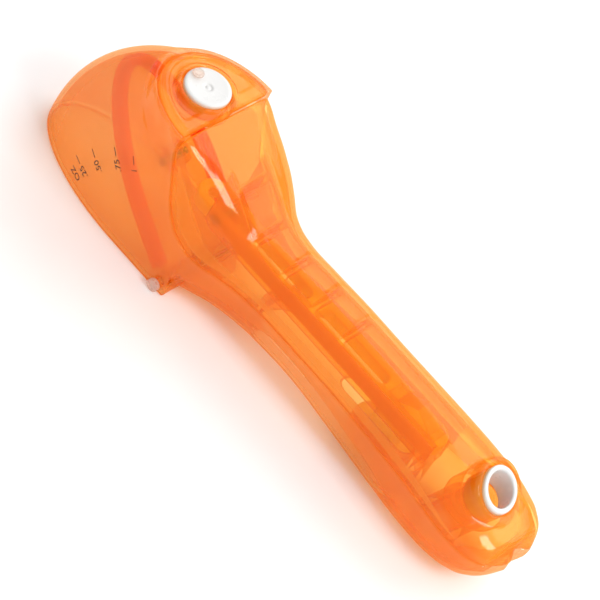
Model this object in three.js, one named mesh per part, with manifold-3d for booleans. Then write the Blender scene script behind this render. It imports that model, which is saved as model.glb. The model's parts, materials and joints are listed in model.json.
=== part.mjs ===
// Hand-held adjustable measuring scoop, in millimetres, +Z up, lying mouth down.
// Hinge frame: X runs from the bowl to the hanging end, Y across, the mouth rim lies on Z = 0.
import * as THREE from 'three';
import { mergeVertices } from 'three/addons/utils/BufferGeometryUtils.js';
import Module from 'manifold-3d';

const wasm = await Module();
wasm.setup();

// ---- driving dimensions ----
const GAP = 0.3; // air between pieces that touch
const WALL = 1.4; // moulded wall
const HINGE_Z = 2.0; // height of the divider hinge over the rim
const BOWL_RADIUS = 57.8; // hinge axis to the outside of the nose
const BOWL_HALF = 17.0; // half width outside
const BOWL_STRAIGHT = 17.0; // parallel part of the bowl, from the hinge
const END_X = 114.2; // hanging end
const CENTRE_X = (END_X - BOWL_RADIUS) / 2; // middle of the overall length
const REST_DEG = 36; // divider angle at the third mark
const CEILING_DEG = 49.6; // where the swept space ends under the head
const RIM_Z = 46.6; // top of the head wall
const HEAD = { x: -13.7, length: 22.3, half: 17.1, foot: 33, draft: 7, wall: 2.8, rim: 1.5 };
const LEDGE_Z = 45.0; // the cap rests here
const CAP = { inset: 1.8, top: 46.9, rimTop: 47.8, rimWidth: 1.7, pocketFloor: 46.0, heelX: 3.2, edge: 0.3 };
const BUTTON = { x: -21.9, radius: 6.4, thick: 2.0, top: 48.4, stem: 2.2 };
const WELL = { inner: 6.8, outer: 8.2, floor: 42.0, floorThick: 1.2 };
const PIN_RADIUS = 1.0;
const BORE_RADIUS = 1.15;
const KNUCKLE_RADIUS = 1.85;
const SLIDER_PIN = { x: 0, z: 21.5, radius: 1.2 };
const SLIDER_STEP = 0.3; // slider travel per degree of the divider
const BAR = { x0: -10.5, x1: 82, half: 4.7, z0: 19.4, z1: 23.6 };
const BAR_SLOTS = [[-7.5, 31], [35.5, 60.5]];
const RECESS = { x0: 22, x1: 80.7, half: 8.0, floor: 11.6, floorThick: 1.3 };
const SEAT_X = [24.5, 79.6]; // cross walls that carry the slider bar
const SEAT = { thick: 1.6, half: 6.4 };
const STEM = { x0: 62, x1: 72, half: 2.2, back: 11.2, front: 4 }; // with its slot's run each way
const PAD = { x0: 57.5, x1: 77, half: 6.6, z0: 3.6, z1: 10.9, groove: 1.2, pitch: 3.2 };
const RAIL = { inner: 5.1, outer: 6.3, x0: -2 }; // guides for the slider bar, under the cover
const RIB_X = [2.5, 13, 24, 35.4, 46.3]; // cross ribs under the cover
const RIB = { half: 0.8, reach: 5.5 };
const RIB_LOW = 26.2;
const FIRST_RIB_LOW = 29.5; // clear of the crank arm's tip
const TUBE = { x: 100.3, z: 28.4, lean: 18, face: 37, outer: 5.85, bore: 4.45, depth: 8.0, collar: 8.0 };
const NOTCH = { radius: 4.0, past: 2.0, z0: 8.5, z1: 24.5 };
const Y_BIG = 40; // half width of cutting tools

// ---- solids ----
function solid(geometry) {
  const bare = geometry.clone();
  bare.deleteAttribute('normal');
  bare.deleteAttribute('uv');
  const merged = mergeVertices(bare, 1e-4);
  const at = merged.attributes.position.array;
  const corners = merged.index.array;
  const kept = [];
  let volume = 0;
  for (let i = 0; i < corners.length; i += 3) {
    const [a, b, c] = [corners[i], corners[i + 1], corners[i + 2]];
    if (a === b || b === c || c === a) continue;
    kept.push(a, b, c);
    const [p, q, r] = [a, b, c].map((k) => new THREE.Vector3().fromArray(at, 3 * k));
    volume += p.dot(q.cross(r));
  }
  if (volume < 0) kept.reverse();
  return new wasm.Manifold(new wasm.Mesh({
    numProp: 3,
    vertProperties: new Float32Array(at),
    triVerts: new Uint32Array(kept),
  }));
}

function joined(...solids) {
  return solids.reduce((sum, next) => sum.add(next));
}

function toGeometry(manifold) {
  const mesh = manifold.getMesh();
  const geometry = new THREE.BufferGeometry();
  geometry.setAttribute('position', new THREE.BufferAttribute(mesh.vertProperties, 3));
  geometry.setIndex(new THREE.BufferAttribute(mesh.triVerts, 1));
  return geometry;
}

function polygon(points) {
  return new THREE.Shape(points.map(([x, y]) => new THREE.Vector2(x, y)));
}

// A side profile of [x, z] points, extruded across the object from y0 to y1.
function acrossPrism(points, y0, y1) {
  const geometry = new THREE.ExtrudeGeometry(polygon(points), { depth: y1 - y0, bevelEnabled: false });
  geometry.rotateX(Math.PI / 2);
  geometry.translate(0, y1, 0);
  return solid(geometry);
}

// A plan outline, extruded upwards from z0 to z1, with an optional bevel kept inside that height.
function plate(shape, z0, z1, bevel = 0) {
  const geometry = new THREE.ExtrudeGeometry(shape, {
    depth: z1 - z0 - 2 * bevel,
    bevelEnabled: bevel > 0,
    bevelThickness: bevel,
    bevelSize: bevel,
    bevelOffset: -bevel,
    bevelSegments: 2,
    curveSegments: 14,
  });
  geometry.translate(0, 0, z0 + bevel);
  return solid(geometry);
}

function box(x0, x1, y0, y1, z0, z1) {
  const geometry = new THREE.BoxGeometry(x1 - x0, y1 - y0, z1 - z0);
  geometry.translate((x0 + x1) / 2, (y0 + y1) / 2, (z0 + z1) / 2);
  return solid(geometry);
}

function acrossRod(x, z, radius, y0, y1, sides = 16) {
  const geometry = new THREE.CylinderGeometry(radius, radius, y1 - y0, sides);
  geometry.translate(x, (y0 + y1) / 2, z);
  return solid(geometry);
}

function uprightRod(x, y, radius, z0, z1, sides = 28) {
  const geometry = new THREE.CylinderGeometry(radius, radius, z1 - z0, sides);
  geometry.rotateX(Math.PI / 2);
  geometry.translate(x, y, (z0 + z1) / 2);
  return solid(geometry);
}

function arc(x, y, radiusX, radiusY, fromDeg, toDeg, steps = 16) {
  const [from, to] = [fromDeg, toDeg].map(THREE.MathUtils.degToRad);
  return new THREE.EllipseCurve(x, y, radiusX, radiusY, from, to).getPoints(steps).map((p) => [p.x, p.y]);
}

// A closed outline from runs of points, without the doubled points where two runs meet.
function outline(...runs) {
  const near = (a, b) => Math.hypot(a[0] - b[0], a[1] - b[1]) < 0.01;
  const points = runs.flat().filter((point, i, all) => i === 0 || !near(point, all[i - 1]));
  if (near(points[0], points.at(-1))) points.pop();
  return polygon(points);
}

function capsule(x0, x1, half, end = half) {
  return outline(arc(x1 - end, 0, end, half, -90, 90), arc(x0 + end, 0, end, half, 90, 270));
}

// ---- bowl: a tongue outline turned about the hinge axis ----
function sweptTongue(inset) {
  const side = [];
  const steps = 9;
  for (let i = 0; i <= steps; i += 1) {
    const angle = (Math.PI / 2) * (1 - i / steps);
    const reach = BOWL_RADIUS - inset - BOWL_STRAIGHT;
    side.push([BOWL_STRAIGHT + reach * Math.cos(angle), (BOWL_HALF - inset) * Math.sin(angle)]);
  }
  const upper = [[0, BOWL_HALF - inset], ...side];
  const lower = upper.slice(0, -1).map(([r, y]) => [r, -y]);
  const profile = [...lower, ...upper.reverse()].map(([r, y]) => new THREE.Vector2(r, y));
  const geometry = new THREE.LatheGeometry(profile, 64);
  geometry.translate(0, 0, HINGE_Z);
  return solid(geometry);
}

// ---- neck and handle: rounded-box sections along X ----
// x, top, bottom, half width, height of the widest line, roundness above and below that line
const SECTIONS = [
  [-33, 44.6, 26, 8.5, 36, 4, 3],
  [-24, 46, 14, 14.6, 30, 4.5, 4],
  [-15, 46.6, 8, 17, 26, 9, 7],
  [-12, 45.6, 5.6, 17.1, 24, 8, 7.5],
  [-8, 43.8, 3.4, 17.1, 21, 6, 7.5],
  [-1, 40.8, 1.8, 17, 17, 4.2, 6.2],
  [4, 37.8, 3, 16.1, 16, 3.8, 5.1],
  [8, 35.1, 3.5, 14.8, 16, 3.4, 4.7],
  [12, 32.2, 3.7, 13.2, 16.4, 3, 4.3],
  [16, 30.9, 3.9, 12.2, 16.8, 2.7, 4],
  [20, 30.4, 4.3, 11.7, 17, 2.6, 3.8],
  [31, 30.6, 5.7, 11.3, 17.4, 2.6, 3.7],
  [42, 31, 5.9, 11.3, 17.5, 2.6, 3.7],
  [56, 30.8, 4, 11.4, 17.3, 2.6, 3.7],
  [70, 30.5, 1.8, 11.8, 17, 2.6, 3.7],
  [82, 29.8, 0.3, 12.5, 16.6, 2.6, 3.6],
  [90, 28.6, 0.1, 13.3, 16.2, 2.6, 3.3],
  [97, 26.8, 0.5, 13.9, 16, 2.6, 3],
  [103, 24.4, 1.7, 13.8, 16, 2.6, 2.7],
  [108, 22.6, 4.2, 12.6, 15.8, 2.5, 2.5],
  [112, 20.4, 8.2, 9.4, 15.6, 2.3, 2.2],
  [END_X, 18.2, 11.8, 5, 15.5, 2, 2],
];

function sectionAt(x) {
  const keys = SECTIONS.map((row) => row[0]);
  const values = SECTIONS.flatMap((row) => row.slice(1));
  const blend = new THREE.CubicInterpolant(keys, values, 6, new Float64Array(6));
  const [top, bottom, half, middle, upper, lower] = blend.evaluate(x);
  return { top, bottom, half, middle, upper, lower };
}

function handleSolid(inset, lastX) {
  const rows = 30;
  const firstX = SECTIONS[0][0];
  const geometry = new THREE.CylinderGeometry(1, 1, 1, 28, rows);
  const place = geometry.attributes.position;
  for (let i = 0; i < place.count; i += 1) {
    const x = firstX + (0.5 - place.getY(i)) * (lastX - firstX);
    const s = sectionAt(x);
    const [c, t] = [place.getX(i), place.getZ(i)].map((v) => (Math.abs(v) < 1e-6 ? 0 : v));
    const power = 2 / (t > 0 ? s.upper : s.lower);
    const height = t > 0 ? s.top - inset - s.middle : s.middle - s.bottom - inset;
    const y = (s.half - inset) * Math.sign(c) * Math.abs(c) ** power;
    place.setXYZ(i, x, y, s.middle + height * Math.sign(t) * Math.abs(t) ** power);
  }
  return solid(geometry);
}

// ---- head: D-shaped plan, straight towards the handle ----
function headShape(inset, straightX = HEAD.x) {
  const half = HEAD.half - inset;
  const nose = arc(HEAD.x, 0, HEAD.length - inset, half, 90, 270, 24);
  return outline([[straightX, half]], nose, [[straightX, -half]]);
}

function draftedHead(inset, low, straightX) {
  const tall = plate(headShape(inset, HEAD.x + 30), low, low + 60, HEAD.draft);
  return tall.intersect(box(-60, straightX, -Y_BIG, Y_BIG, low - 1, low + 30));
}

// ---- parting line between the body and the cover, seen from the side ----
const PARTING = [
  [HEAD.x, 41.3], [-11, 34.0], [-8.2, 27.4], [-5.6, 23.6], [-2.8, 20.6], [2.5, 17.6], [8, 16.6],
  [13.7, 16.4], [25, 17.2], [54, 17.4], [80, 16.6], [97, 16.0], [END_X + 6, 15.6],
];
const bodyRegion = acrossPrism(
  [[-80, -9], [-80, RIM_Z], [HEAD.x, RIM_Z], ...PARTING, [END_X + 6, -9]], -Y_BIG, Y_BIG);
const coverRegion = acrossPrism(
  [...PARTING.map(([x, z]) => [x + GAP, z + GAP]), [END_X + 6.3, 60], [HEAD.x + GAP, 60]], -Y_BIG, Y_BIG);

const handleOuter = handleSolid(0, END_X);
const handleInner = handleSolid(WALL, END_X - 3.2);

// ---- tilted tools round the hanging hole ----
const lean = THREE.MathUtils.degToRad(TUBE.lean);
const faceTilt = THREE.MathUtils.degToRad(TUBE.face);

function tubeRod(radius, from, to, sides = 32) {
  const geometry = new THREE.CylinderGeometry(radius, radius, to - from, sides);
  geometry.rotateX(Math.PI / 2);
  geometry.translate(0, 0, (from + to) / 2);
  geometry.rotateY(lean);
  geometry.translate(TUBE.x, 0, TUBE.z);
  return solid(geometry);
}

function underFace(drop) {
  const size = 80;
  const geometry = new THREE.BoxGeometry(size, size, size);
  geometry.translate(0, 0, -size / 2 - drop);
  geometry.rotateY(faceTilt);
  geometry.translate(TUBE.x, 0, TUBE.z);
  return solid(geometry);
}

const notch = uprightRod(END_X + NOTCH.past, 0, NOTCH.radius, NOTCH.z0, NOTCH.z1, 24);

function scoopBody() {
  const bowlPart = acrossPrism([
    [-80, 0], [3.2, 0], [3.2, 3], [-13, 40], [-13, 80], [-80, 80],
  ], -Y_BIG, Y_BIG);
  const bowlOuter = sweptTongue(0).intersect(bowlPart);
  const slope = Math.tan(THREE.MathUtils.degToRad(CEILING_DEG));
  const wallX = HEAD.x - HEAD.length + HEAD.wall + GAP;
  const bowlSpace = acrossPrism([
    [-75, -5], [2.6, -5], [2.6, 44], [HEAD.x, 55], [wallX, 55],
    [wallX, HINGE_Z - wallX * slope], [-75, HINGE_Z + 75 * slope],
  ], -Y_BIG, Y_BIG);
  const bowlInner = sweptTongue(WALL).intersect(bowlSpace);
  const headOuter = draftedHead(0, HEAD.foot, HEAD.x + 2);
  const headInner = joined(
    draftedHead(HEAD.wall, HEAD.foot + 3, HEAD.x + 8),
    plate(headShape(HEAD.rim, HEAD.x + 8), LEDGE_Z, RIM_Z + 4),
  );
  const shell = joined(bowlOuter, handleOuter, headOuter)
    .subtract(joined(bowlInner, handleInner, headInner));

  const tub = plate(capsule(RECESS.x0 - 1.3, RECESS.x1 + 1.3, RECESS.half + 1.3),
    0, RECESS.floor + RECESS.floorThick).intersect(handleOuter);
  const boss = tubeRod(TUBE.outer + 0.5, -40, 0).intersect(handleOuter);
  const seats = SEAT_X.map((x) => box(x, x + SEAT.thick, -SEAT.half, SEAT.half, RECESS.floor, BAR.z0 - GAP));
  const recess = plate(capsule(RECESS.x0, RECESS.x1, RECESS.half), -3, RECESS.floor);
  const stemSlot = plate(
    capsule(STEM.x0 - STEM.back, STEM.x1 + STEM.front, STEM.half + 0.5, 1.5), RECESS.floor - 1, 14);
  return joined(shell, tub, boss)
    .intersect(bodyRegion)
    .add(joined(...seats))
    .subtract(joined(recess, stemSlot, tubeRod(TUBE.bore, -60, 20), notch))
    .subtract(acrossRod(0, HINGE_Z, BORE_RADIUS, -Y_BIG, Y_BIG, 20));
}

function handleCover() {
  const shell = handleOuter.subtract(handleInner);
  const bounds = handleOuter.intersect(box(-12, 90, -Y_BIG, Y_BIG, 0, 60));
  const rails = [-1, 1].map((side) => {
    const [y0, y1] = side > 0 ? [RAIL.inner, RAIL.outer] : [-RAIL.outer, -RAIL.inner];
    return box(RAIL.x0, BAR.x1, y0, y1, BAR.z0, 60);
  });
  const ribs = RIB_X.map((x, i) => box(
    x - RIB.half, x + RIB.half, -RIB.reach, RIB.reach, i ? RIB_LOW : FIRST_RIB_LOW, 60));
  const inside = joined(...rails, ...ribs).intersect(bounds);
  const collar = tubeRod(TUBE.collar, -14, 10, 36).intersect(underFace(0.6)).intersect(coverRegion);
  return joined(shell, inside)
    .intersect(coverRegion)
    .add(collar)
    .subtract(joined(tubeRod(TUBE.outer + GAP, -TUBE.depth - GAP, 20), tubeRod(TUBE.bore, -60, 20), notch));
}

function headCap() {
  const flat = plate(headShape(CAP.inset), LEDGE_Z + GAP, CAP.top, CAP.edge);
  const pocket = plate(headShape(CAP.inset + 0.5 + CAP.rimWidth), CAP.pocketFloor, CAP.rimTop + 1)
    .intersect(box(-60, HEAD.x - CAP.heelX, -Y_BIG, Y_BIG, 40, 50));
  const raised = plate(headShape(CAP.inset + 0.5), CAP.top - 0.4, CAP.rimTop, CAP.edge).subtract(pocket);
  const ring = uprightRod(BUTTON.x, 0, WELL.outer, WELL.floor, CAP.rimTop + 0.2, 36);
  const well = uprightRod(BUTTON.x, 0, WELL.inner, WELL.floor + WELL.floorThick, 60, 36);
  const stemHole = uprightRod(BUTTON.x, 0, BUTTON.stem + 0.4, 30, 60, 20);
  return joined(flat, raised, ring).subtract(joined(well, stemHole));
}

// ---- divider, drawn flat in its own frame: the hinge axis is Y, the nose points to -X ----
const SEAL = { inset: WALL + 0.4, width: 3.0, half: 2.0, root: -3.4 };

function tongueShape(inset, rootX) {
  const half = BOWL_HALF - inset;
  const nose = arc(-BOWL_STRAIGHT, 0, BOWL_RADIUS - BOWL_STRAIGHT - inset, half, 90, 270, 24);
  return outline([[rootX, half]], nose, [[rootX, -half]]);
}

function dividerSeal() {
  const band = plate(tongueShape(SEAL.inset, SEAL.root), -SEAL.half, SEAL.half, 0.6);
  const hollow = plate(tongueShape(SEAL.inset + SEAL.width, SEAL.root + 5), -5, 5);
  const groove = plate(tongueShape(SEAL.inset + SEAL.width - 1.4, SEAL.root + 5), -1.3, 1.3);
  return band.subtract(joined(hollow, groove));
}

const SLOT_HALF = SLIDER_PIN.radius + 0.2; // the slot the slider pin runs in
const SLOT_TURNS = { from: -37, to: 13, step: 5 }; // degrees from rest, a little past the limits

function slotPath() {
  const points = [];
  for (let turn = SLOT_TURNS.from; turn <= SLOT_TURNS.to; turn += SLOT_TURNS.step) {
    const pinX = SLIDER_PIN.x + SLIDER_STEP * turn;
    const angle = THREE.MathUtils.degToRad(-(REST_DEG + turn));
    const rise = SLIDER_PIN.z - HINGE_Z;
    points.push([pinX * Math.cos(angle) + rise * Math.sin(angle),
      -pinX * Math.sin(angle) + rise * Math.cos(angle)]);
  }
  return points;
}

function dividerPlate() {
  const panel = plate(tongueShape(SEAL.inset + SEAL.width - 1.1, -1), -1, 1);
  const half = BOWL_HALF - WALL - 0.4;
  const barrel = acrossRod(0, 0, KNUCKLE_RADIUS, -half, half);
  const lugs = [-1, 1].map((side) => {
    const [y0, y1] = side > 0 ? [1.9, 3.9] : [-3.9, -1.9];
    return acrossPrism([[-32, 0.9], [-24, 0.9], [-25.6, 5.2], [-30.4, 5.2]], y0, y1);
  });
  return joined(panel, barrel, ...lugs)
    .subtract(box(-4.2, 3, -1.9, 1.9, -4, 4))
    .subtract(acrossRod(0, 0, BORE_RADIUS, -Y_BIG, Y_BIG, 20))
    .subtract(acrossRod(-28, 3, PIN_RADIUS + 0.12, -6, 6));
}

function crankArm() {
  const path = slotPath();
  const [tipX, tipZ] = path[7];
  const web = acrossPrism([
    [-31, 1.4], [-3.9, 1.4], [-1.6, 1.6], [tipX + 3.4, tipZ - 2], [tipX + 2.6, tipZ + 4.2],
    [tipX - 3.0, tipZ + 5.2], [tipX - 3.9, tipZ - 1.5], [-12.2, 8.0], [-15.5, 4.6], [-25, 4.4],
    [-26, 5.4], [-30, 5.4], [-31, 4.4],
  ], -1.5, 1.5);
  const eye = acrossRod(0, 0, KNUCKLE_RADIUS, -1.5, 1.5);
  const neck = acrossPrism(
    [[-3.9, 1.6], [-1.2, -1.2], [1.4, 0.6], [tipX + 3.6, tipZ - 2], [-8, 6]], -1.5, 1.5);
  const slot = path.map(([x, z]) => acrossRod(x, z, SLOT_HALF, -4, 4, 14));
  return joined(web, eye, neck)
    .subtract(joined(...slot))
    .subtract(acrossRod(0, 0, BORE_RADIUS, -Y_BIG, Y_BIG, 20))
    .subtract(acrossRod(-28, 3, PIN_RADIUS + 0.12, -6, 6));
}

// ---- slider ----
function sliderBar() {
  const bar = plate(capsule(BAR.x0, BAR.x1, BAR.half, 1.5), BAR.z0, BAR.z1, 0.4);
  const slots = BAR_SLOTS.map(([x0, x1]) => plate(capsule(x0, x1, 2.1), BAR.z0 - 2, BAR.z1 + 2));
  const pinHole = acrossRod(SLIDER_PIN.x, SLIDER_PIN.z, SLIDER_PIN.radius + 0.12, -9, 9);
  return bar.subtract(joined(...slots, pinHole));
}

function thumbSlide() {
  const pad = plate(capsule(PAD.x0, PAD.x1, PAD.half), PAD.z0, PAD.z1, 1.0);
  const grooves = [0, 1, 2, 3, 4].map((i) => {
    const x = PAD.x0 + PAD.pitch * (i + 1) - 0.1;
    return box(x, x + PAD.groove, -5, 5, 2, PAD.z0 + 0.9);
  });
  const stem = plate(capsule(STEM.x0, STEM.x1, STEM.half, 1.2), PAD.z1 - 1, BAR.z0 - GAP);
  return joined(pad, stem).subtract(joined(...grooves));
}

function detentSpring() {
  const rise = [[63, 24.0], [66, 24.0], [69, 26.0], [72, 27.6], [75, 26.0], [78, 24.0], [80, 24.0]];
  const back = rise.map(([x, z]) => [x, z + 0.7]).reverse();
  return acrossPrism([...rise, ...back], -2.4, 2.4);
}

// ---- button ----
function lockButton() {
  const disc = uprightRod(0, 0, BUTTON.radius, -BUTTON.thick, 0, 36);
  const stem = uprightRod(0, 0, BUTTON.stem, -8.4, -BUTTON.thick + 0.2, 20);
  return disc.add(stem);
}

const STUD = { x: -4.2, y: -0.1, radius: 1.55 };

class SpringCurve extends THREE.Curve {
  getPoint(t, target = new THREE.Vector3()) {
    const angle = 2 * Math.PI * 2.25 * t;
    return target.set(4.3 * Math.cos(angle), 4.3 * Math.sin(angle), 2.0 * t);
  }
}

function buttonSpring() {
  const wire = new THREE.Shape().absarc(0, 0, 0.35, 0, 2 * Math.PI);
  return solid(new THREE.ExtrudeGeometry(wire, {
    steps: 36, curveSegments: 4, bevelEnabled: false, extrudePath: new SpringCurve(),
  }));
}

// ---- hanging eyelet ----
function hangTube() {
  return tubeRod(TUBE.outer, -TUBE.depth, 12).intersect(underFace(0)).subtract(tubeRod(TUBE.bore, -60, 20));
}

// ---- assembly ----
const CORAL = [0xff6a2a, 0.35];
const AMBER = [0xff8418, 0.35];
const CLEAR = [0xf4efe8, 0.1];
const WHITE = [0xf6f5f2, 0.45];
const SEAL_RED = [0xff4a18, 0.6];
const STEEL = [0xb8b8b8, 0.35, 0.9];

function part(name, manifold, [color, roughness, metalness = 0]) {
  const material = new THREE.MeshStandardMaterial({ color, roughness, metalness });
  const mesh = new THREE.Mesh(toGeometry(manifold), material);
  mesh.name = name;
  return mesh;
}

const scoop = new THREE.Group();
scoop.position.x = -CENTRE_X;

scoop.add(part('scoop_body', scoopBody(), CORAL));
scoop.add(part('handle_cover', handleCover(), AMBER));
scoop.add(part('head_cap', headCap(), AMBER));
scoop.add(part('hang_tube', hangTube(), WHITE));

const pinHalf = BOWL_HALF + 0.2;
scoop.add(part('hinge_pin', acrossRod(0, HINGE_Z, PIN_RADIUS, -pinHalf, pinHalf), CLEAR));
for (const [side, name] of [[-1, 'hinge_cap_right'], [1, 'hinge_cap_left']]) {
  const cup = acrossRod(0, 0, 1.8, 0.3, 1.4).subtract(acrossRod(0, 0, PIN_RADIUS + 0.12, -1, 0.8));
  const cap = part(name, cup, CLEAR);
  cap.position.set(0, side * BOWL_HALF, HINGE_Z);
  cap.rotation.z = side > 0 ? 0 : Math.PI;
  scoop.add(cap);
}

const divider = new THREE.Group();
divider.position.z = HINGE_Z;
divider.rotation.y = THREE.MathUtils.degToRad(REST_DEG);
divider.add(part('divider_plate', dividerPlate(), CORAL));
divider.add(part('divider_seal', dividerSeal(), SEAL_RED));
divider.add(part('crank_arm', crankArm(), AMBER));
divider.add(part('arm_pin', acrossRod(-28, 3, PIN_RADIUS, -4.6, 4.6), STEEL));
scoop.add(divider);

scoop.add(part('slider_bar', sliderBar(), AMBER));
scoop.add(part('slider_pin', acrossRod(SLIDER_PIN.x, SLIDER_PIN.z, SLIDER_PIN.radius, -4.9, 4.9), STEEL));
scoop.add(part('thumb_slide', thumbSlide(), AMBER));
scoop.add(part('detent_spring', detentSpring(), AMBER));

const button = new THREE.Group();
button.position.set(BUTTON.x, 0, BUTTON.top);
button.add(part('lock_button', lockButton(), WHITE));
const stud = part('index_stud', uprightRod(STUD.x, STUD.y, STUD.radius, GAP, 1.2, 20), CLEAR);
button.add(stud);
scoop.add(button);

const spring = part('button_spring', buttonSpring(), STEEL);
spring.position.set(BUTTON.x, 0, WELL.floor + WELL.floorThick + 0.7);
scoop.add(spring);

export default scoop;
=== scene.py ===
"""Adjustable measuring scoop: fine shells, materials, printed scale, floor, light and camera."""
import json
import math

import bpy
import numpy as np
from mathutils import Matrix, Vector


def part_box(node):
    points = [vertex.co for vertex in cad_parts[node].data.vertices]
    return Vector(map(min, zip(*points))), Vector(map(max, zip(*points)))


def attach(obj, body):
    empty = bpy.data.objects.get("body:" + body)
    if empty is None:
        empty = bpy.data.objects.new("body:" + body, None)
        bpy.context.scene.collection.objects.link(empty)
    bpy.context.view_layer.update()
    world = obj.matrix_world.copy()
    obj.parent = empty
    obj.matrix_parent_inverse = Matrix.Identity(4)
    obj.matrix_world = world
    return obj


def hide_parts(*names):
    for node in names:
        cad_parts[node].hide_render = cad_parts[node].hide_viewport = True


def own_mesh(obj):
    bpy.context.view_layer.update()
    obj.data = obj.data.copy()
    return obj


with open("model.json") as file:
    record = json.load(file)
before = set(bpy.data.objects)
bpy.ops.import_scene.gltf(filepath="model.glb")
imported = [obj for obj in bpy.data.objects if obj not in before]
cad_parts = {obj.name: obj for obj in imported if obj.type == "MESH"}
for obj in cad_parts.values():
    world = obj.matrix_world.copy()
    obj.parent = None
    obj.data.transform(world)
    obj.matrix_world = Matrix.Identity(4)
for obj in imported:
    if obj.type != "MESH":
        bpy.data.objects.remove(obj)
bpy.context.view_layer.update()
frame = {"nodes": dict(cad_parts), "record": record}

JOINTS = {joint["name"]: joint for joint in frame["record"]["behaviour"]["joints"]}
HINGE = Vector(JOINTS["divider_hinge"]["pos_m"])

# ---- driving dimensions, in millimetres ----
# The working frame has its origin on the rim plane under the hinge: X to the hanging end, Z up.
MM = 0.001


def node_box(name):
    """A CAD node's lowest and highest corners in the working frame, in millimetres."""
    low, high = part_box(name)
    shift = Vector((HINGE.x, 0, 0))
    return (low - shift) / MM, (high - shift) / MM


BODY_LOW, BODY_HIGH = node_box("scoop_body")
HINGE_Z = HINGE.z / MM
BOWL_RADIUS = -BODY_LOW.x
END_X = BODY_HIGH.x
RIM_Z = BODY_HIGH.z
WALL = 1.4
GAP = 0.3
BOWL_HALF = 17.0
BOWL_STRAIGHT = 17.0
REST = math.radians(36)
CEILING = math.radians(49.6)
HEAD_X, HEAD_LENGTH, HEAD_HALF, HEAD_ROUND = -13.7, 22.3, 17.1, 7.0
LEDGE_Z = RIM_Z - 1.6
CAP_INSET = 1.8
BUTTON_X = -21.9
STUD_X, STUD_Y = -4.2, -0.1
WELL_RADIUS, WELL_FLOOR = 6.8, 43.2
RECESS_X0, RECESS_X1, RECESS_HALF, RECESS_Z = 22.0, 80.7, 8.0, 11.6
TUBE_X, TUBE_Z, TUBE_LEAN, TUBE_FACE = 100.3, 28.4, math.radians(18), math.radians(37)
TUBE_OUTER, TUBE_BORE, TUBE_DEPTH, COLLAR = 5.85, 4.45, 8.0, 8.0
RIB_X = (2.5, 13.0, 24.0, 35.4, 46.3)
STEP = 0.45
FINE = 0.28
TYPICAL_HALF = 8
# Beyond every piece: where the cutting outlines run to.
FAR_X, FAR_LOW, FAR_HIGH, PAST_END = -80, -9, 60, 6
# Fillet sizes, from the widest joint to the sharpest edge.
WIDE, BROAD, JOIN, CORNER, MILD, INNER, EDGE, STEPPED, FINE_EDGE, CRISP, SHARP, KEEN = (
    2.0, 1.6, 1.2, 1.0, 0.9, 0.8, 0.7, 0.6, 0.5, 0.4, 0.3, 0.2)
PIN_HOLE, ARM_PIN_HOLE = 1.15, 1.12
# Inside the handle: the bar's seats, the cover's rails and ribs, the recess's walls and slot.
SEAT_SPANS, SEAT_HALF, SEAT_LOW, SEAT_TOP = ((24.5, 26.1), (79.6, 81.2)), 6.4, 12, 19.1
RAIL_X0, RAIL_X1, RAIL_Y, RAIL_HALF, RAIL_LOW = -2, 82, 5.7, 0.6, 19.4
RIB_HALF, RIB_REACH, RIB_LOW, FRONT_RIB_LOW, RIBS_END = 0.8, 5.5, 26.2, 29.5, 90
RECESS_WALL = 1.3
SLOT_X0, SLOT_X1, SLOT_HALF, SLOT_Z, SLOT_DEEP = 50.8, 76, 2.7, 12, 2.5
NOTCH_PAST, NOTCH_RADIUS, NOTCH_Z, NOTCH_HALF = 2.0, 4.0, 16.5, 8.0
END_WALL = 3.2
BOSS_TOP, BOSS_WALL, COLLAR_DROP = 15.6, 0.5, 0.6

# x, top, bottom, half width, height of the widest line, roundness above and below that line
SECTIONS = np.array([
    (-33, 44.6, 26, 8.5, 36, 4, 3), (-24, 46, 14, 14.6, 30, 4.5, 4),
    (-15, 46.6, 8, 17, 26, 9, 7), (-12, 45.6, 5.6, 17.1, 24, 8, 7.5), (-8, 43.8, 3.4, 17.1, 21, 6, 7.5),
    (-1, 40.8, 1.8, 17, 17, 4.2, 6.2), (4, 37.8, 3, 16.1, 16, 3.8, 5.1),
    (8, 35.1, 3.5, 14.8, 16, 3.4, 4.7), (12, 32.2, 3.7, 13.2, 16.4, 3, 4.3),
    (16, 30.9, 3.9, 12.2, 16.8, 2.7, 4), (20, 30.4, 4.3, 11.7, 17, 2.6, 3.8),
    (31, 30.6, 5.7, 11.3, 17.4, 2.6, 3.7), (42, 31, 5.9, 11.3, 17.5, 2.6, 3.7),
    (56, 30.8, 4, 11.4, 17.3, 2.6, 3.7), (70, 30.5, 1.8, 11.8, 17, 2.6, 3.7),
    (82, 29.8, 0.3, 12.5, 16.6, 2.6, 3.6), (90, 28.6, 0.1, 13.3, 16.2, 2.6, 3.3),
    (97, 26.8, 0.5, 13.9, 16, 2.6, 3), (103, 24.4, 1.7, 13.8, 16, 2.6, 2.7),
    (108, 22.6, 4.2, 12.6, 15.8, 2.5, 2.5), (112, 20.4, 8.2, 9.4, 15.6, 2.3, 2.2),
    (END_X, 18.2, 11.8, 5, 15.5, 2, 2),
])
# The line in side view where the cover meets the body, as x and z.
PARTING = np.array([
    (HEAD_X, 41.3), (-11, 34.0), (-8.2, 27.4), (-5.6, 23.6), (-2.8, 20.6), (2.5, 17.6), (8, 16.6),
    (13.7, 16.4), (25, 17.2), (54, 17.4), (80, 16.6), (97, 16.0), (END_X + PAST_END, 15.6),
])


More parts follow.
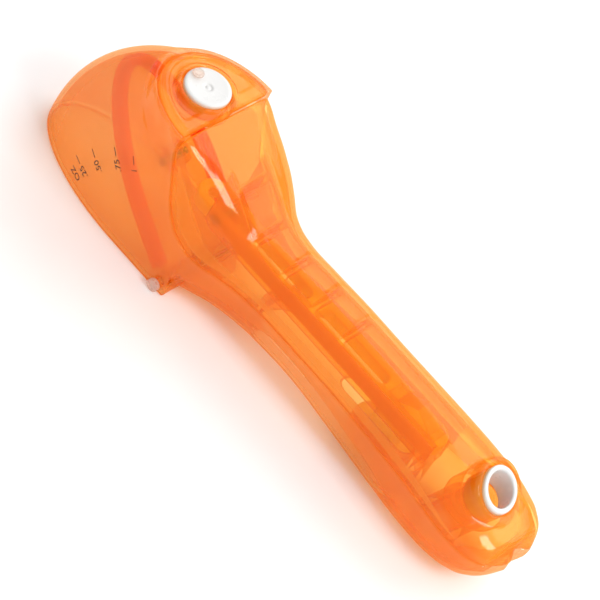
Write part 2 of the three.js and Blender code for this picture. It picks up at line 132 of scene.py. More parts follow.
# ---- distance fields, negative inside ----
class Grid:
    """A block of sample points between two corners, in the working frame."""

    def __init__(self, low, high, step):
        axes = [np.arange(a - 2 * step, b + 3 * step, step) for a, b in zip(low, high)]
        self.x, self.y, self.z = np.meshgrid(*axes, indexing="ij", sparse=True)
        self.shape = tuple(len(axis) for axis in axes)
        self.low = np.array([axis[0] for axis in axes])
        self.step = step

    def levelled(self, field):
        """The field scaled so that it measures distance near its zero surface."""
        slopes = np.gradient(np.broadcast_to(field, self.shape), self.step)
        return field / np.maximum(np.sqrt(sum(s * s for s in slopes)), 1e-3)


def either(a, b, soft=0.0):
    """Union, with a fillet where the two meet."""
    if soft <= 0:
        return np.minimum(a, b)
    h = np.clip(0.5 + 0.5 * (b - a) / soft, 0, 1)
    return b * (1 - h) + a * h - soft * h * (1 - h)


def both(a, b, soft=0.0):
    return -either(-a, -b, soft)


def less(a, b, soft=0.0):
    return both(a, -b, soft)


def block(g, x0, x1, y0, y1, z0, z1):
    """A box along the axes."""
    spans = ((g.x, x0, x1), (g.y, y0, y1), (g.z, z0, z1))
    x, y, z = (np.abs(value - (low + high) / 2) - (high - low) / 2 for value, low, high in spans)
    return np.maximum(x, np.maximum(y, z))


def capsule(g, x0, x1, half):
    """The distance to a long round-ended outline, seen from above."""
    reach = (x1 - x0) / 2 - half
    return np.hypot(np.maximum(np.abs(g.x - (x0 + x1) / 2) - reach, 0), g.y) - half


def prism(g, points):
    """The distance to a closed outline of x and z points, seen from the side."""
    points = np.asarray(points, float)
    x, z = g.x[:, :, 0], g.z[0, :, :]
    shape = (g.shape[0], g.shape[2])
    px, pz = np.broadcast_to(x, shape), np.broadcast_to(z, shape)
    nearest = np.full(shape, 1e9)
    inside = np.zeros(shape, bool)
    for (ax, az), (bx, bz) in zip(points, np.roll(points, -1, axis=0)):
        t = ((px - ax) * (bx - ax) + (pz - az) * (bz - az)) / ((bx - ax) ** 2 + (bz - az) ** 2)
        t = np.clip(t, 0, 1)
        nearest = np.minimum(nearest, np.hypot(px - ax - t * (bx - ax), pz - az - t * (bz - az)))
        crosses = (az > pz) != (bz > pz)
        slope = (bx - ax) / (bz - az) if bz != az else 0
        inside ^= crosses & (px < ax + slope * (pz - az))
    return np.where(inside, -nearest, nearest)[:, None, :]


def turned(g, x, z, angle):
    """Coordinates along and across an axis that leans by an angle from Z, through (x, z)."""
    dx, dz = g.x - x, g.z - z
    return dx * math.sin(angle) + dz * math.cos(angle), dx * math.cos(angle) - dz * math.sin(angle)


def tongue(g, inset):
    """The bowl: a long-nosed outline swept about the hinge axis."""
    r = np.hypot(g.x, g.z - HINGE_Z)
    reach, half = BOWL_RADIUS - BOWL_STRAIGHT - inset, BOWL_HALF - inset
    ahead = np.maximum(r - BOWL_STRAIGHT, 0) / reach
    return g.levelled((np.sqrt(ahead ** 2 + (g.y / half) ** 2) - 1) * half)


def rows_at(x):
    """The handle's sections at x, on a smooth curve through the rows."""
    keys, values = SECTIONS[:, 0], SECTIONS[:, 1:]
    slopes = np.gradient(values, keys, axis=0)
    x = np.clip(x, keys[0], keys[-1])
    i = np.clip(np.searchsorted(keys, x, side="right") - 1, 0, len(keys) - 2)
    width = keys[i + 1] - keys[i]
    t = ((x - keys[i]) / width)[:, None]
    width = width[:, None]
    start = values[i] * (1 + 2 * t) * (1 - t) ** 2 + slopes[i] * width * t * (1 - t) ** 2
    finish = values[i + 1] * t * t * (3 - 2 * t) - slopes[i + 1] * width * t * t * (1 - t)
    return (start + finish).T


def handle(g, inset, last_x):
    """The neck and handle: rounded-box sections along X."""
    top, bottom, half, middle, above, below = (row[:, None, None] for row in rows_at(g.x[:, 0, 0]))
    up = g.z > middle
    height = np.where(up, top - middle, middle - bottom) - inset
    power = np.where(up, above, below)
    side, rise = np.abs(g.y) / (half - inset), np.abs(g.z - middle) / height
    ring = (side ** power + rise ** power) ** (1 / power) - 1
    field = g.levelled(ring * TYPICAL_HALF)
    return np.maximum(field, np.maximum(SECTIONS[0, 0] - g.x, g.x - last_x))


def head(g, inset):
    """The distance to the head's D outline, seen from above, without its straight edge."""
    half, length = HEAD_HALF - inset, HEAD_LENGTH - inset
    ahead = np.minimum(g.x - HEAD_X, 0) / length
    plan = (np.sqrt(ahead ** 2 + (g.y / half) ** 2) - 1) * half
    slopes = np.gradient(np.broadcast_to(plan, (g.shape[0], g.shape[1], 1))[:, :, 0], g.step)
    return plan / np.maximum(np.hypot(*slopes), 1e-3)[:, :, None]


def head_tub(g, inset, low, straight_x):
    """The head above low, drawn in at its foot by a quarter round."""
    plan = head(g, inset)
    rise = np.maximum(low + HEAD_ROUND - g.z, 0)
    rounded = np.where(rise > 0, np.hypot(np.maximum(plan + HEAD_ROUND, 0), rise) - HEAD_ROUND, plan)
    return np.maximum(rounded, np.maximum(low - g.z, g.x - straight_x))


# ---- surfaces from fields ----
CORNERS = np.array(list(np.ndindex(2, 2, 2)))


def at(field, cells):
    return field[cells[:, 0], cells[:, 1], cells[:, 2]]


def net(field):
    """A surface net: one point in each grid cell that the surface crosses, and quads facing out."""
    inside = field < 0
    shape = np.array(field.shape)
    count = np.zeros(shape - 1, np.int8)
    for corner in CORNERS:
        count += inside[tuple(slice(c, n - 1 + c) for c, n in zip(corner, shape))]
    crossed = (count > 0) & (count < len(CORNERS))
    cells = np.argwhere(crossed)
    number = np.full(shape - 1, -1, np.int64)
    number[crossed] = np.arange(len(cells))
    total, hits = np.zeros((len(cells), 3)), np.zeros((len(cells), 1))
    for axis in range(3):
        step = np.eye(3, dtype=int)[axis]
        for corner in CORNERS[CORNERS[:, axis] == 0]:
            a, b = at(field, cells + corner), at(field, cells + corner + step)
            cut = ((a < 0) != (b < 0))[:, None]
            t = np.where(cut[:, 0], a / np.where(cut[:, 0], a - b, 1), 0)[:, None]
            total += np.where(cut, corner + t * step, 0)
            hits += cut
    quads = []
    for axis in range(3):
        u, v = (axis + 1) % 3, (axis + 2) % 3
        low = [slice(1, n - 1) for n in shape]
        low[axis] = slice(0, shape[axis] - 1)
        high = list(low)
        high[axis] = slice(1, shape[axis])
        here, there = inside[tuple(low)], inside[tuple(high)]
        edges = np.argwhere(here != there) + [s.start for s in low]
        ring = []
        for du, dv in ((1, 1), (0, 1), (0, 0), (1, 0)):
            cell = edges.copy()
            cell[:, u] -= du
            cell[:, v] -= dv
            ring.append(at(number, cell))
        quad = np.stack(ring, axis=1)
        inward = ~here[here != there]
        quad[inward] = quad[inward][:, ::-1]
        quads.append(quad)
    return cells + total / hits, np.concatenate(quads)


def sample(field, points):
    """The field between its grid points."""
    base = np.clip(np.floor(points).astype(int), 0, np.array(field.shape) - 2)
    part = points - base
    value = np.zeros(len(points))
    for corner in CORNERS:
        value += np.prod(np.where(corner, part, 1 - part), axis=1) * at(field, base + corner)
    return value


def settled(points, field, rounds=3):
    """The net's points moved onto the zero surface, a short step at a time."""
    for _ in range(rounds):
        value = sample(field, points)
        halves = 0.5 * np.eye(3)
        ahead = [sample(field, points + half) - sample(field, points - half) for half in halves]
        slope = np.stack(ahead, axis=1)
        move = value[:, None] * slope / np.maximum((slope ** 2).sum(axis=1), 1e-6)[:, None]
        size = np.maximum(np.linalg.norm(move, axis=1, keepdims=True), 1e-9)
        points = points - move * np.minimum(1, 0.4 / size)
    return points


def new_piece(name, points, faces, material, body, slot, nodes=()):
    """A smooth-shaded mesh from points in the working frame, which rides on a body."""
    mesh = bpy.data.meshes.new(name)
    placed = np.asarray(points, float) * MM + np.array([HINGE.x, 0, 0])
    mesh.from_pydata(placed.tolist(), [], [[int(i) for i in face] for face in faces])
    mesh.validate()
    mesh.shade_smooth()
    mesh.materials.append(material)
    piece = bpy.data.objects.new(name, mesh)
    bpy.context.scene.collection.objects.link(piece)
    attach(piece, body)
    if nodes:
        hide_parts(*nodes)
    return piece


def tilted(points):
    """Points drawn with the divider flat, turned to its rest angle about the hinge."""
    turn = np.array(Matrix.Rotation(REST, 3, "Y"))
    return np.asarray(points) @ turn.T + np.array([0, 0, HINGE_Z])


def moulded(name, field, g, material, body, slot, nodes=(), flat=False):
    """A piece whose surface is where a field is zero."""
    field = np.ascontiguousarray(np.broadcast_to(field, g.shape))
    points, quads = net(field)
    points = settled(points, field) * g.step + g.low
    points = tilted(points) if flat else points
    return new_piece(name, points, quads, material, body, slot, nodes)


# ---- the moulded pieces ----
def below_parting(g):
    side = [(FAR_X, FAR_LOW), (FAR_X, RIM_Z), (HEAD_X, RIM_Z), *PARTING, (END_X + PAST_END, FAR_LOW)]
    return prism(g, side)


def above_parting(g):
    return prism(g, [*(PARTING + GAP), (END_X + PAST_END + GAP, FAR_HIGH), (HEAD_X + GAP, FAR_HIGH)])


def bore(g, radius, low=-99.0, high=99.0):
    """A rod along the hanging tube's leaning axis, between two distances from its top."""
    along, across = turned(g, TUBE_X, TUBE_Z, TUBE_LEAN)
    return np.maximum(np.hypot(across, g.y) - radius, np.maximum(low - along, along - high))


def over_face(g, drop):
    """The height over the slanted face round the hanging hole."""
    return turned(g, TUBE_X, TUBE_Z, TUBE_FACE)[0] + drop


def end_notch(g):
    wide = np.hypot(g.x - END_X - NOTCH_PAST, g.y) - NOTCH_RADIUS
    return both(wide, np.abs(g.z - NOTCH_Z) - NOTCH_HALF, CORNER)


# The bowl's side view: mouth, rear corner and the line up to the head.
BOWL_SIDE = [(FAR_X, 0), (3.2, 0), (3.2, 3), (-13, 40), (-13, 80), (FAR_X, 80)]
MOUTH_X0, MOUTH_X1, MOUTH_Z, NECK_Z, SPACE_TOP = -75, 2.6, -5, 44, 55
HEAD_FOOT, TUB_FOOT, TUB_INSET, CEILING_INSET = 33, 36, 2.8, 3.1
HEAD_LAP, TUB_LAP = 2, 8
BOSS_SPAN, COLLAR_SPAN, TUBE_RISE = (-40, 0), (-14, 10), 14
CAP_SEAT_INSET = 1.5


def scoop_body(g):
    bowl = both(tongue(g, 0), prism(g, BOWL_SIDE), EDGE)
    grip = both(handle(g, 0, END_X), -g.z, EDGE)
    outer = either(either(bowl, grip, JOIN), head_tub(g, 0, HEAD_FOOT, HEAD_X + HEAD_LAP), JOIN)
    slope = math.tan(CEILING)
    wall_x = HEAD_X - HEAD_LENGTH + CEILING_INSET
    space = prism(g, [
        (MOUTH_X0, MOUTH_Z), (MOUTH_X1, MOUTH_Z), (MOUTH_X1, NECK_Z), (HEAD_X, SPACE_TOP),
        (wall_x, SPACE_TOP), (wall_x, HINGE_Z - wall_x * slope), (MOUTH_X0, HINGE_Z - MOUTH_X0 * slope),
    ])
    hollow = either(both(tongue(g, WALL), space, INNER), handle(g, WALL, END_X - END_WALL), INNER)
    seat = np.maximum(head(g, CAP_SEAT_INSET), LEDGE_Z - g.z)
    hollow = either(hollow, either(head_tub(g, TUB_INSET, TUB_FOOT, HEAD_X + TUB_LAP), seat))
    shell = less(outer, hollow, FINE_EDGE)

    x0, x1 = RECESS_X0 - RECESS_WALL, RECESS_X1 + RECESS_WALL
    tub = capsule(g, x0, x1, RECESS_HALF + RECESS_WALL)
    tub = np.maximum(tub, g.z - RECESS_Z - RECESS_WALL)
    boss = np.maximum(bore(g, TUBE_OUTER + BOSS_WALL, *BOSS_SPAN), g.z - BOSS_TOP)
    inside = both(either(tub, boss, INNER), grip)
    front, rear = (block(g, *span, -SEAT_HALF, SEAT_HALF, SEAT_LOW, SEAT_TOP) for span in SEAT_SPANS)
    field = both(either(shell, inside, INNER), below_parting(g), CRISP)
    field = either(field, either(front, rear), FINE_EDGE)
    recess = both(capsule(g, RECESS_X0, RECESS_X1, RECESS_HALF), g.z - RECESS_Z, JOIN)
    stem_slot = np.maximum(capsule(g, SLOT_X0, SLOT_X1, SLOT_HALF), np.abs(g.z - SLOT_Z) - SLOT_DEEP)
    pin_hole = np.hypot(g.x, g.z - HINGE_Z) - PIN_HOLE
    for cut in (recess, stem_slot, bore(g, TUBE_BORE), end_notch(g), pin_hole):
        field = less(field, cut, STEPPED)
    return field


def handle_cover(g):
    grip = handle(g, 0, END_X)
    shell = less(grip, handle(g, WALL, END_X - END_WALL))
    inside = np.maximum(np.abs(np.abs(g.y) - RAIL_Y) - RAIL_HALF, np.maximum(RAIL_X0 - g.x, g.x - RAIL_X1))
    inside = np.maximum(inside, RAIL_LOW - g.z)
    for x in RIB_X:
        low = FRONT_RIB_LOW if x == RIB_X[0] else RIB_LOW
        rib = block(g, x - RIB_HALF, x + RIB_HALF, -RIB_REACH, RIB_REACH, low, FAR_HIGH)
        inside = either(inside, rib, CRISP)
    inside = both(inside, np.maximum(grip, g.x - RIBS_END))
    field = both(either(shell, inside, STEPPED), above_parting(g), CRISP)
    collar = np.maximum(bore(g, COLLAR, *COLLAR_SPAN), above_parting(g))
    field = either(field, both(collar, over_face(g, COLLAR_DROP), MILD), BROAD)
    for cut in (bore(g, TUBE_OUTER + GAP, -TUBE_DEPTH - GAP), bore(g, TUBE_BORE), end_notch(g)):
        field = less(field, cut, FINE_EDGE)
    return field


# The cap: its plate, the rim raised on it and the pocket inside the rim, as middle height and half thickness.
PLATE_Z, PLATE_HALF = 46.1, 0.8
RIM_MIDDLE, RIM_HALF, RIM_INSET, RIM_BACK = 47.1, 0.7, 0.5, 0.2
POCKET_INSET, POCKET_BACK, POCKET_FLOOR = 2.2, 3.2, 46.4
RING_WALL, RING_Z, RING_HALF, STEM_HOLE = 1.4, 45, 3.0, 2.6


def head_cap(g):
    flat = both(both(head(g, CAP_INSET), g.x - HEAD_X, CORNER), np.abs(g.z - PLATE_Z) - PLATE_HALF, FINE_EDGE)
    rim = both(head(g, CAP_INSET + RIM_INSET), g.x - HEAD_X + RIM_BACK, CORNER)
    rim = both(rim, np.abs(g.z - RIM_MIDDLE) - RIM_HALF, FINE_EDGE)
    pocket = both(head(g, CAP_INSET + POCKET_INSET), g.x - HEAD_X + POCKET_BACK, WIDE)
    raised = less(rim, np.maximum(pocket, POCKET_FLOOR - g.z), FINE_EDGE)
    centre = np.hypot(g.x - BUTTON_X, g.y)
    ring = both(centre - WELL_RADIUS - RING_WALL, np.abs(g.z - RING_Z) - RING_HALF, STEPPED)
    well = both(centre - WELL_RADIUS, WELL_FLOOR - g.z, FINE_EDGE)
    field = either(either(flat, raised, FINE_EDGE), ring, STEPPED)
    return less(less(field, well, FINE_EDGE), centre - STEM_HOLE, SHARP)


def hang_tube(g):
    wall = both(bore(g, TUBE_OUTER, -TUBE_DEPTH, TUBE_RISE), over_face(g, 0), EDGE)
    return less(wall, bore(g, TUBE_BORE), EDGE)


# ---- the divider, drawn flat: its hinge axis is Y and its nose points to -X ----
def flat_tongue(g, inset, root_x):
    r = np.maximum(-g.x - BOWL_STRAIGHT, 0) / (BOWL_RADIUS - BOWL_STRAIGHT - inset)
    half = BOWL_HALF - inset
    plan = (np.sqrt(r ** 2 + (g.y / half) ** 2) - 1) * half
    slopes = np.gradient(np.broadcast_to(plan, (g.shape[0], g.shape[1], 1))[:, :, 0], g.step)
    plan = plan / np.maximum(np.hypot(*slopes), 1e-3)[:, :, None]
    return np.maximum(plan, g.x - root_x)


SEAL_INSET = WALL + 0.4
SEAL_HALF, SEAL_WIDTH, SEAL_ROOT = 2.0, 3.0, -3.4
LIP_DEPTH, LIP_REACH, LIP_SHARE = 0.45, 0.95, 0.6
GROOVE_DEPTH, GROOVE_HALF, GROOVE_ROOT = 1.6, 1.3, 1.6
PANEL_INSET, PANEL_HALF, PANEL_ROOT, BARREL = 1.9, 1.0, -1, 1.85
LUG, LUG_Y, LUG_HALF = [(-32, 0.9), (-24, 0.9), (-25.6, 5.2), (-30.4, 5.2)], 2.9, 1.0
ARM_GAP_HALF, ARM_GAP_X, ARM_GAP_REACH = 1.9, 0.6, 3.6
ARM_PIN_X, ARM_PIN_Z = -28, 3


def divider_seal(g):
    """A soft band with two lips that wipe the bowl's wall."""
    edge = flat_tongue(g, SEAL_INSET, SEAL_ROOT)
    lip = LIP_DEPTH * (1 - np.cos(np.pi * np.clip(g.z / LIP_REACH, -1, 1)) ** 2)
    band = both(edge + lip * LIP_SHARE, np.abs(g.z) - SEAL_HALF, INNER)
    hollow = flat_tongue(g, SEAL_INSET + SEAL_WIDTH, GROOVE_ROOT)
    groove = flat_tongue(g, SEAL_INSET + GROOVE_DEPTH, GROOVE_ROOT)
    groove = np.maximum(groove, np.abs(g.z) - GROOVE_HALF)
    return less(less(band, hollow, STEPPED), groove, KEEN)


def divider_plate(g):
    panel = both(flat_tongue(g, SEAL_INSET + PANEL_INSET, PANEL_ROOT), np.abs(g.z) - PANEL_HALF, SHARP)
    half = BOWL_HALF - SEAL_INSET
    barrel = np.maximum(np.hypot(g.x, g.z) - BARREL, np.abs(g.y) - half)
    lugs = both(prism(g, LUG), np.abs(np.abs(g.y) - LUG_Y) - LUG_HALF, FINE_EDGE)
    field = either(either(panel, barrel, INNER), lugs, INNER)
    arm_gap = np.maximum(np.abs(g.y) - ARM_GAP_HALF, np.abs(g.x + ARM_GAP_X) - ARM_GAP_REACH)
    pin_holes = (np.hypot(g.x, g.z) - PIN_HOLE, np.hypot(g.x - ARM_PIN_X, g.z - ARM_PIN_Z) - ARM_PIN_HOLE)
    for cut in (arm_gap, *pin_holes):
        field = less(field, cut, SHARP)
    return field


# ---- the slider and the button ----
BAR_X0, BAR_X1, BAR_HALF_Y, BAR_Z, BAR_HALF_Z = -10.5, 82, 4.7, 21.5, 2.1
BAR_SLOTS, BAR_SLOT_HALF, SLIDER_PIN_HOLE = ((-7.5, 31), (35.5, 60.5)), 2.1, 1.32
PAD_X0, PAD_X1, PAD_HALF_Y, PAD_Z, PAD_HALF_Z = 57.5, 77, 6.6, 7.25, 3.65
RIDGE_FROM, RIDGE_PITCH, RIDGE_DEPTH, RIDGE_Z = 61.2, 3.2, 0.45, 3.6
RIDGE_HALF_Y, RIDGE_MIDDLE, RIDGE_REACH = 5, 67.6, 8
STEM_X0, STEM_X1, STEM_RADIUS, STEM_Z, STEM_HALF_Z = 62, 72, 2.2, 14.5, 4.6


def slider_bar(g):
    field = both(capsule(g, BAR_X0, BAR_X1, BAR_HALF_Y), np.abs(g.z - BAR_Z) - BAR_HALF_Z, EDGE)
    for x0, x1 in BAR_SLOTS:
        field = less(field, capsule(g, x0, x1, BAR_SLOT_HALF), STEPPED)
    return less(field, np.hypot(g.x, g.z - BAR_Z) - SLIDER_PIN_HOLE, SHARP)


def thumb_slide(g):
    pad = both(capsule(g, PAD_X0, PAD_X1, PAD_HALF_Y), np.abs(g.z - PAD_Z) - PAD_HALF_Z, BROAD)
    wave = 1 + np.cos((g.x - RIDGE_FROM) * 2 * np.pi / RIDGE_PITCH)
    ridges = np.maximum(g.z - RIDGE_Z - RIDGE_DEPTH * wave, np.abs(g.y) - RIDGE_HALF_Y)
    ridges = np.maximum(ridges, np.abs(g.x - RIDGE_MIDDLE) - RIDGE_REACH)
    stem = both(capsule(g, STEM_X0, STEM_X1, STEM_RADIUS), np.abs(g.z - STEM_Z) - STEM_HALF_Z, CRISP)
    return either(less(pad, ridges, FINE_EDGE), stem, INNER)


DISC_TOP, DISC_FOOT, DISC_RADIUS = 48.4, 46.4, 6.4
DISH_DEPTH, DISH_RADIUS = 0.25, 5.4
BUTTON_STEM, BUTTON_STEM_Z, BUTTON_STEM_HALF = 2.2, 43.4, 3.4
MARK_RADIUS, MARK_HALF, MARK_DEPTH = 0.85, 0.3, 0.55
STUD_RADIUS, STUD_Z, STUD_HALF, STUD_DISH, STUD_DISH_Z = 1.55, 49.15, 0.45, 0.95, 49.2


def lock_button(g):
    r = np.hypot(g.x - BUTTON_X, g.y)
    dish = g.z - DISC_TOP + DISH_DEPTH * np.clip(1 - (r / DISH_RADIUS) ** 2, 0, 1)
    disc = both(r - DISC_RADIUS, np.maximum(dish, DISC_FOOT - g.z), EDGE)
    stem = np.maximum(r - BUTTON_STEM, np.abs(g.z - BUTTON_STEM_Z) - BUTTON_STEM_HALF)
    mark = np.maximum(np.abs(r - MARK_RADIUS) - MARK_HALF, DISC_TOP - MARK_DEPTH - g.z)
    return less(either(disc, stem, CRISP), mark, KEEN)


def index_stud(g):
    r = np.hypot(g.x - BUTTON_X - STUD_X, g.y - STUD_Y)
    post = both(r - STUD_RADIUS, np.abs(g.z - STUD_Z) - STUD_HALF, CRISP)
    return less(post, np.maximum(r - STUD_DISH, STUD_DISH_Z - g.z), SHARP)


def coil(radius, wire, low, high, turns, sides=10, steps=96):
    """A helix of round wire with flat ends, about the button's axis, as points and faces."""
    points, faces = [], []
    pitch = (high - low) / (2 * math.pi * turns * radius)
    for i in range(steps + 1):
        angle = 2 * math.pi * turns * i / steps
        outward = np.array([math.cos(angle), math.sin(angle), 0])
        along = np.array([-math.sin(angle), math.cos(angle), pitch])
        upward = np.cross(outward, along)
        upward /= np.linalg.norm(upward)
        centre = np.array([BUTTON_X, 0, low + (high - low) * i / steps]) + radius * outward
        for j in range(sides):
            side = 2 * math.pi * j / sides
            points.append(centre + wire * (math.cos(side) * outward + math.sin(side) * upward))
    for i in range(steps):
        for j in range(sides):
            a, b = i * sides + j, i * sides + (j + 1) % sides
            faces.append((a, a + sides, b + sides, b))
    faces.append(tuple(range(sides)))
    faces.append(tuple(range(steps * sides, (steps + 1) * sides))[::-1])
    return points, faces


# ---- materials ----
# Noise sizes, as cycles per metre, and the part of the noise's range that is used.
DRIFT, GLOSS, RIPPLE = 90, 300, 700
CLEAR_DRIFT, CLEAR_GLOSS, CLEAR_RIPPLE = 45, 160, 60
NOISE_LOW, NOISE_HIGH = 0.3, 0.7
RIPPLE_DEPTH, CLEAR_RIPPLE_SHARE, CLEAR_RIPPLE_DEPTH = 0.0004, 0.05, 0.001
EDGE_BLEND, MOST_SCATTER, PLASTIC_INDEX = 0.3, 0.5, 1.49


def nodes_of(name):
    material = bpy.data.materials.new(name)
    material.use_nodes = True
    tree = material.node_tree
    return material, tree, tree.nodes["Principled BSDF"], tree.nodes["Material Output"]


def grain(tree, scale, detail=3.0):
    """Noise in the object's own metres."""
    coordinates = tree.nodes.new("ShaderNodeTexCoord")
    noise = tree.nodes.new("ShaderNodeTexNoise")
    noise.inputs["Scale"].default_value = scale
    noise.inputs["Detail"].default_value = detail
    tree.links.new(coordinates.outputs["Object"], noise.inputs["Vector"])
    return noise.outputs["Fac"]


def spread(tree, source, low, high):
    """Noise remapped to run between two values."""
    remap = tree.nodes.new("ShaderNodeMapRange")
    remap.inputs["From Min"].default_value = NOISE_LOW
    remap.inputs["From Max"].default_value = NOISE_HIGH
    remap.inputs["To Min"].default_value = low
    remap.inputs["To Max"].default_value = high
    tree.links.new(source, remap.inputs["Value"])
    return remap.outputs["Result"]


def ramp(tree, source, colours):
    node = tree.nodes.new("ShaderNodeValToRGB")
    for element, colour in zip(node.color_ramp.elements, colours):
        element.color = (*colour, 1)
    node.color_ramp.elements[0].position = NOISE_LOW
    node.color_ramp.elements[1].position = NOISE_HIGH
    tree.links.new(source, node.inputs["Fac"])
    return node.outputs["Color"]


def bump(tree, source, strength, distance):
    node = tree.nodes.new("ShaderNodeBump")
    node.inputs["Strength"].default_value = strength
    node.inputs["Distance"].default_value = distance
    tree.links.new(source, node.inputs["Height"])
    return node.outputs["Normal"]


def plastic(name, colours, rough, ripple=0.02, metallic=0.0):
    """Opaque moulded plastic or metal: slight colour drift, uneven gloss and a faint ripple."""
    material, tree, shader, _ = nodes_of(name)
    tree.links.new(ramp(tree, grain(tree, DRIFT), colours), shader.inputs["Base Color"])
    tree.links.new(spread(tree, grain(tree, GLOSS), rough * 0.8, rough * 1.25), shader.inputs["Roughness"])
    tree.links.new(bump(tree, grain(tree, RIPPLE), ripple, RIPPLE_DEPTH), shader.inputs["Normal"])
    shader.inputs["Metallic"].default_value = metallic
    shader.inputs["IOR"].default_value = PLASTIC_INDEX
    return material


def tinted(name, glow, tint, edge_tint, body=0.12, rough=0.06, index=2.6):
    """See-through dyed plastic. Light passes with a tint that deepens where the wall is seen edge-on.
    A small share is scattered back, under a gloss whose index makes up for that small share."""
    material, tree, shader, output = nodes_of(name)
    tree.links.new(ramp(tree, grain(tree, CLEAR_DRIFT, 2.0), glow), shader.inputs["Base Color"])
    uneven = spread(tree, grain(tree, CLEAR_GLOSS), rough * 0.7, rough * 1.4)
    tree.links.new(uneven, shader.inputs["Roughness"])
    waves = grain(tree, CLEAR_RIPPLE, 1.0)
    tree.links.new(bump(tree, waves, CLEAR_RIPPLE_SHARE, CLEAR_RIPPLE_DEPTH), shader.inputs["Normal"])
    shader.inputs["IOR"].default_value = index
    edge_on = tree.nodes.new("ShaderNodeLayerWeight")
    edge_on.inputs["Blend"].default_value = EDGE_BLEND
    deepen = tree.nodes.new("ShaderNodeMix")
    deepen.data_type = "RGBA"
    deepen.inputs["A"].default_value = (*tint, 1)
    deepen.inputs["B"].default_value = (*edge_tint, 1)
    tree.links.new(edge_on.outputs["Facing"], deepen.inputs["Factor"])
    clear = tree.nodes.new("ShaderNodeBsdfTransparent")
    tree.links.new(deepen.outputs["Result"], clear.inputs["Color"])
    share = tree.nodes.new("ShaderNodeMapRange")
    share.inputs["To Min"].default_value = body
    share.inputs["To Max"].default_value = MOST_SCATTER
    tree.links.new(edge_on.outputs["Fresnel"], share.inputs["Value"])
    mix = tree.nodes.new("ShaderNodeMixShader")
    tree.links.new(share.outputs["Result"], mix.inputs["Fac"])
    tree.links.new(clear.outputs["BSDF"], mix.inputs[1])
    tree.links.new(shader.outputs["BSDF"], mix.inputs[2])
    tree.links.new(mix.outputs["Shader"], output.inputs["Surface"])
    return material


CORAL = tinted("coral_translucent", [(1.0, 0.32, 0.03), (1.0, 0.37, 0.05)], (1.0, 0.89, 0.70),
               (1.0, 0.68, 0.26))
AMBER = tinted("amber_translucent", [(1.0, 0.33, 0.01), (1.0, 0.38, 0.02)], (1.0, 0.88, 0.52),
               (1.0, 0.66, 0.16), index=2.3)
BAR = tinted("amber_slider", [(1.0, 0.56, 0.0), (1.0, 0.60, 0.0)], (1.0, 0.94, 0.01), (1.0, 0.80, 0.01),
             body=0.6, rough=0.3, index=1.5)
ARM = tinted("amber_arm", [(1.0, 0.46, 0.02), (1.0, 0.50, 0.03)], (1.0, 0.96, 0.78),
             (1.0, 0.84, 0.46), body=0.04)
PANEL = tinted("coral_panel", [(1.0, 0.32, 0.0), (1.0, 0.36, 0.01)], (1.0, 0.91, 0.60),
               (1.0, 0.66, 0.26), body=0.08)
SEAL = tinted("seal_elastomer", [(1.0, 0.05, 0.0), (1.0, 0.07, 0.003)], (1.0, 0.50, 0.22), (1.0, 0.26, 0.05),
              body=0.25, rough=0.4, index=1.4)
WHITE = plastic("white_plastic", [(0.68, 0.67, 0.655), (0.72, 0.715, 0.70)], 0.3)
CLEAR = tinted("clear_plastic", [(0.9, 0.88, 0.85), (0.95, 0.93, 0.9)], (0.98, 0.94, 0.9), (0.85, 0.5, 0.36),
               body=0.15)
STEEL = plastic("pin_steel", [(0.30, 0.27, 0.24), (0.42, 0.39, 0.36)], 0.25, 0.03, metallic=1.0)
INK = plastic("scale_ink", [(0.035, 0.008, 0.002), (0.055, 0.012, 0.003)], 0.5)

# ---- pieces ----
# Each moulded piece is sampled in the block between two corners, in the working frame or, when flat, the
# divider's own.
SPAN = ((-BOWL_RADIUS - 1, -18.6, -0.6), (END_X + 1, 18.6, RIM_Z + 0.8))


def build(name, shape, low, high, step, *rest, **options):
    g = Grid(low, high, step)
    return moulded(name, shape(g), g, *rest, **options)


build("fine_scoop_body", scoop_body, *SPAN, STEP, CORAL, "housing", "coral_plastic", ["scoop_body"])
build("fine_handle_cover", handle_cover, (-14.5, -18.4, 15), (END_X + 1, 18.4, 46), STEP,
      AMBER, "housing", "amber_plastic", ["handle_cover"])
build("fine_head_cap", head_cap, (-35, -16, 41.5), (-13, 16, 48.4), FINE,
      AMBER, "housing", "amber_plastic", ["head_cap"])
build("fine_hang_tube", hang_tube, (88, -7, 17), (110, 7, 38), FINE,
      WHITE, "housing", "white_plastic", ["hang_tube"])
build("fine_divider_seal", divider_seal, (-56.5, -15.5, -2.2), (-3, 15.5, 2.2), FINE,
      SEAL, "divider", "seal_red", ["divider_seal"], flat=True)
build("fine_divider_plate", divider_plate, (-54, -15.5, -2), (2, 15.5, 5.6), FINE,
      PANEL, "divider", "coral_plastic", ["divider_plate"], flat=True)
build("fine_slider_bar", slider_bar, (-11, -5, 19), (82.5, 5, 24), FINE,
      BAR, "slider", "amber_plastic", ["slider_bar"])
build("fine_thumb_slide", thumb_slide, (57, -7, 3), (78, 7, 19.5), FINE,
      BAR, "slider", "amber_plastic", ["thumb_slide"])
build("fine_lock_button", lock_button, (-29, -7, 39.5), (-15, 7, 49), FINE,
      WHITE, "button", "white_plastic", ["lock_button"])
build("fine_index_stud", index_stud, (-28.3, -2.2, 48.2), (-23.9, 2, 50), FINE * 0.6,
      CLEAR, "button", "clear_plastic", ["index_stud"])


# The spring stands on the well's floor. It is drawn at one length and rides with the housing, so it does not
# shorten as the button goes down.
SPRING = {"radius": 4.3, "wire": 0.35, "low": 43.9, "high": 45.9, "turns": 2.25}
spring = new_piece("fine_button_spring", *coil(**SPRING), STEEL, "housing", "pin_steel", ["button_spring"])
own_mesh(spring)


